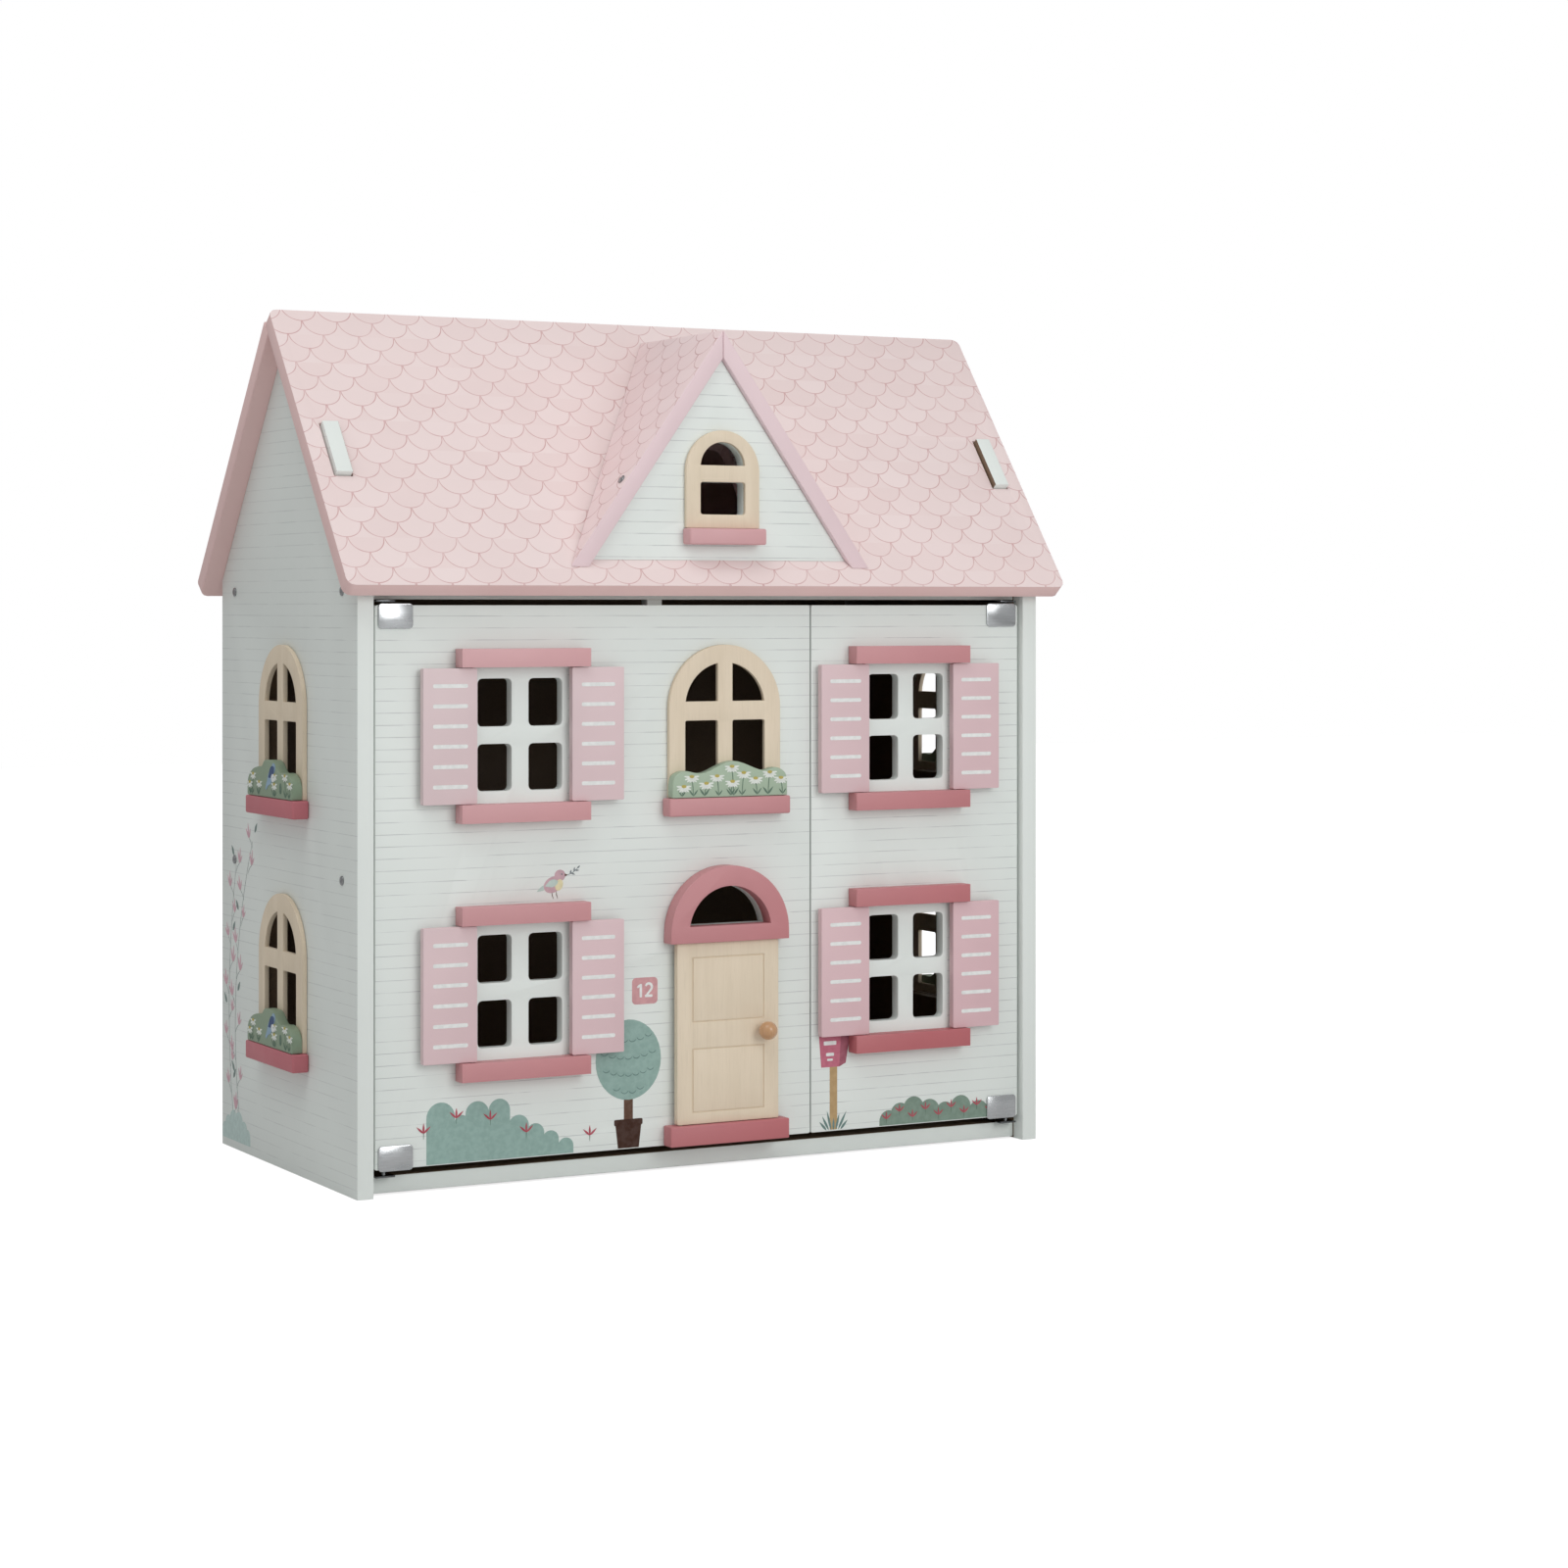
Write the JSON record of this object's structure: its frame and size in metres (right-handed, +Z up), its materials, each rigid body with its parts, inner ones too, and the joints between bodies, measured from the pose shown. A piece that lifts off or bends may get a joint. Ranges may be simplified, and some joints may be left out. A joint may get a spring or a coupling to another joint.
{
  "type": "wooden dollhouse",
  "caption": "Painted wooden dollhouse: gabled carcass with floors, two hinged front doors with shuttered windows, an entrance door, and a hinged roof half with a dormer.",
  "frame": {"origin": "on the ground under the middle of the house (centre of the bounding box's bottom face)", "axes": "+X to the right along the front, front faces -Y, +Z up"},
  "size_m": [0.589, 0.322, 0.6291],
  "materials": {
    "white_paint": "satin off-white paint with printed decoration",
    "roof_paint": "satin pale pink paint with printed scallop tiles",
    "trim_paint": "satin dusty pink paint",
    "shutter_paint": "satin light pink paint with white slat lines",
    "hedge_paint": "satin sage green paint with printed flowers",
    "bare_wood": "clear-varnished pale plywood",
    "knob_wood": "clear-varnished turned beech",
    "steel": "bright zinc-plated steel"
  },
  "bodies": {
    "house": {"attic_floor": "white_paint", "back_panel": "white_paint", "base_board": "white_paint", "left_door_lower_pivot": "steel", "left_door_upper_pivot": "steel", "left_side_lower_window_frame": "bare_wood", "left_side_lower_window_hedge": "hedge_paint", "left_side_lower_window_sill": "trim_paint", "left_side_upper_window_frame": "bare_wood", "left_side_upper_window_hedge": "hedge_paint", "left_side_upper_window_sill": "trim_paint", "middle_floor": "white_paint", "rear_roof_panel": "roof_paint", "ridge_hinge_fixed_leaf": "steel", "right_door_lower_pivot": "steel", "right_door_upper_pivot": "steel", "right_side_lower_window_frame": "bare_wood", "right_side_lower_window_hedge": "hedge_paint", "right_side_lower_window_sill": "trim_paint", "right_side_upper_window_frame": "bare_wood", "right_side_upper_window_hedge": "hedge_paint", "right_side_upper_window_sill": "trim_paint", "side_panel_left": "white_paint", "side_panel_right": "white_paint"},
    "left_door": {"left_door_panel": "white_paint", "left_door_upper_plate": "steel", "left_door_lower_plate": "steel", "arched_window_frame": "bare_wood", "arched_window_sill": "trim_paint", "arched_window_hedge": "hedge_paint", "fanlight": "trim_paint", "doorstep": "trim_paint", "upper_left_window_lintel": "trim_paint", "upper_left_window_sill": "trim_paint", "lower_left_window_lintel": "trim_paint", "lower_left_window_sill": "trim_paint"},
    "right_door": {"right_door_panel": "white_paint", "right_door_upper_plate": "steel", "right_door_lower_plate": "steel", "upper_right_window_lintel": "trim_paint", "upper_right_window_sill": "trim_paint", "lower_right_window_lintel": "trim_paint", "lower_right_window_sill": "trim_paint"},
    "entrance_door": {"entrance_door": "bare_wood", "entrance_door_knob": "knob_wood"},
    "roof": {"front_roof_panel": "roof_paint", "dormer_roof_left": "roof_paint", "dormer_roof_right": "roof_paint", "dormer_front": "white_paint", "dormer_window_frame": "bare_wood", "dormer_sill": "trim_paint", "ridge_hinge_moving_leaf": "steel"},
    "lower_left_window_left_shutter": {"lower_left_window_left_shutter": "shutter_paint"},
    "lower_left_window_right_shutter": {"lower_left_window_right_shutter": "shutter_paint"},
    "lower_right_window_left_shutter": {"lower_right_window_left_shutter": "shutter_paint"},
    "lower_right_window_right_shutter": {"lower_right_window_right_shutter": "shutter_paint"},
    "upper_left_window_left_shutter": {"upper_left_window_left_shutter": "shutter_paint"},
    "upper_left_window_right_shutter": {"upper_left_window_right_shutter": "shutter_paint"},
    "upper_right_window_left_shutter": {"upper_right_window_left_shutter": "shutter_paint"},
    "upper_right_window_right_shutter": {"upper_right_window_right_shutter": "shutter_paint"}
  },
  "joints": [
    {"name": "left_door_hinge", "type": "hinge", "parent": "house", "child": "left_door", "pos_m": [-0.2573, -0.1325, 0.216], "axis": [0, 0, 1], "range_deg": [-110, 0]},
    {"name": "right_door_hinge", "type": "hinge", "parent": "house", "child": "right_door", "pos_m": [0.2573, -0.1325, 0.216], "axis": [0, 0, 1], "range_deg": [0, 110]},
    {"name": "entrance_door_hinge", "type": "hinge", "parent": "left_door", "child": "entrance_door", "pos_m": [-0.0295, -0.14325, 0.1], "axis": [0, 0, 1], "range_deg": [-110, 0]},
    {"name": "roof_hinge", "type": "hinge", "parent": "house", "child": "roof", "pos_m": [0, 0.0093, 0.6231], "axis": [1, 0, 0], "range_deg": [-160, 0]},
    {"name": "lower_left_window_left_shutter_hinge", "type": "hinge", "parent": "left_door", "child": "lower_left_window_left_shutter", "pos_m": [-0.1948, -0.14325, 0.1389], "axis": [0, 0, 1], "range_deg": [0, 180]},
    {"name": "lower_left_window_right_shutter_hinge", "type": "hinge", "parent": "left_door", "child": "lower_left_window_right_shutter", "pos_m": [-0.1148, -0.14325, 0.1389], "axis": [0, 0, 1], "range_deg": [-180, 0]},
    {"name": "lower_right_window_left_shutter_hinge", "type": "hinge", "parent": "right_door", "child": "lower_right_window_left_shutter", "pos_m": [0.125, -0.14325, 0.1389], "axis": [0, 0, 1], "range_deg": [0, 180]},
    {"name": "lower_right_window_right_shutter_hinge", "type": "hinge", "parent": "right_door", "child": "lower_right_window_right_shutter", "pos_m": [0.205, -0.14325, 0.1389], "axis": [0, 0, 1], "range_deg": [-180, 0]},
    {"name": "upper_left_window_left_shutter_hinge", "type": "hinge", "parent": "left_door", "child": "upper_left_window_left_shutter", "pos_m": [-0.1948, -0.14325, 0.321], "axis": [0, 0, 1], "range_deg": [0, 180]},
    {"name": "upper_left_window_right_shutter_hinge", "type": "hinge", "parent": "left_door", "child": "upper_left_window_right_shutter", "pos_m": [-0.1148, -0.14325, 0.321], "axis": [0, 0, 1], "range_deg": [-180, 0]},
    {"name": "upper_right_window_left_shutter_hinge", "type": "hinge", "parent": "right_door", "child": "upper_right_window_left_shutter", "pos_m": [0.125, -0.14325, 0.321], "axis": [0, 0, 1], "range_deg": [0, 180]},
    {"name": "upper_right_window_right_shutter_hinge", "type": "hinge", "parent": "right_door", "child": "upper_right_window_right_shutter", "pos_m": [0.205, -0.14325, 0.321], "axis": [0, 0, 1], "range_deg": [-180, 0]}
  ]
}
